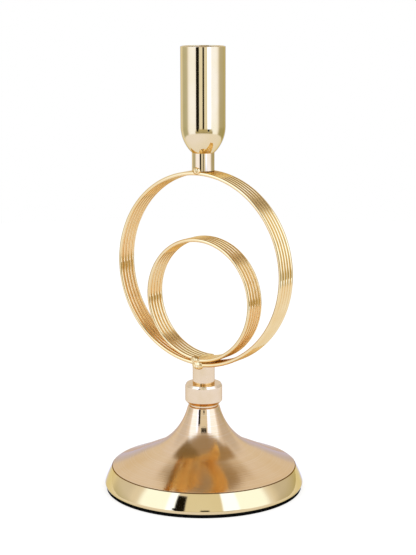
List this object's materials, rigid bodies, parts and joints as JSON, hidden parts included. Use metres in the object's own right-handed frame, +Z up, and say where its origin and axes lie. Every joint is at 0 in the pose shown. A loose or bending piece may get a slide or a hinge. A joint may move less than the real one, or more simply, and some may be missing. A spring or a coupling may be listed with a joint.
{
  "type": "candle holder",
  "caption": "Taper candle holder: bell foot, collar and post, a small wound wire ring inside a large one, and a bullet-nosed cup on top.",
  "frame": {"origin": "centre of the foot pad's underside, on the surface that the holder stands on", "axes": "+Z up along the stem; -Y is the front; the wire rings are wound about axes parallel to Y, so each ring is seen as a full circle along Y"},
  "size_m": [0.1116, 0.1116, 0.2464],
  "materials": {
    "satin_gold_plate": "gold-plated sheet, finely brushed round the stem, with a polished rim band",
    "polished_gold_plate": "pale gold plate, mirror polished",
    "pale_gold_plate": "pale rose-gold plate, polished",
    "zinc_steel": "zinc-plated steel",
    "black_foam": "matt black foam sheet"
  },
  "bodies": {
    "root": {"base_shell": "satin_gold_plate", "base_plate": "zinc_steel", "base_pad": "black_foam", "collar": "pale_gold_plate", "lower_post": "pale_gold_plate", "stem_stud": "zinc_steel", "stem_washer": "zinc_steel", "stem_lock_washer": "zinc_steel", "stem_nut": "zinc_steel", "outer_coil": "polished_gold_plate", "inner_coil": "polished_gold_plate", "bottom_front_weld": "polished_gold_plate", "bottom_rear_weld": "polished_gold_plate", "inner_seam_weld": "polished_gold_plate", "top_front_weld": "polished_gold_plate", "top_rear_weld": "polished_gold_plate", "upper_post": "polished_gold_plate", "candle_cup": "polished_gold_plate", "cup_washer": "zinc_steel", "cup_screw": "zinc_steel"}
  },
  "joints": []
}
